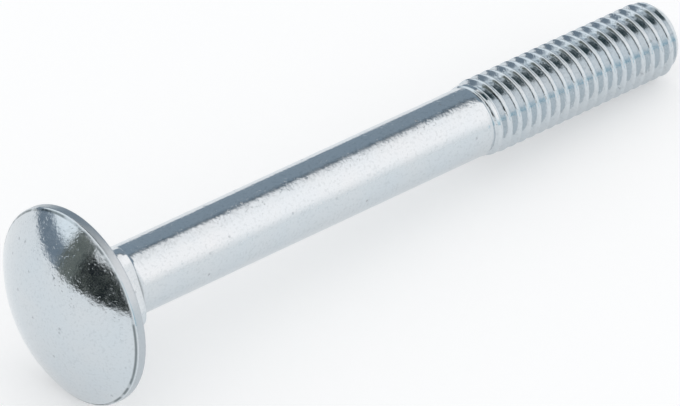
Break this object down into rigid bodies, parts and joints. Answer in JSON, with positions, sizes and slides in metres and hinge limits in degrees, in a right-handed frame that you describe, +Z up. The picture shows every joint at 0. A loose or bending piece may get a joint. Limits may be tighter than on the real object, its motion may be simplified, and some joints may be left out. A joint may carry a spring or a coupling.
{
  "type": "carriage bolt",
  "caption": "Zinc-plated carriage bolt with a domed cup head, a square neck, a plain shank and a threaded end, lying on its side.",
  "frame": {"origin": "middle of the lying bolt's footprint, on the surface it lies on", "axes": "+Z up; +X along the bolt from the head towards the threaded end, level (the bolt's own axis slopes down about 4.7 degrees along it); +Y to the left"},
  "size_m": [0.078, 0.0198, 0.0198],
  "materials": {
    "zinc_plated_steel": "bright zinc plating with a faint blue tint"
  },
  "bodies": {
    "root": {"carriage_bolt": "zinc_plated_steel"}
  },
  "joints": []
}
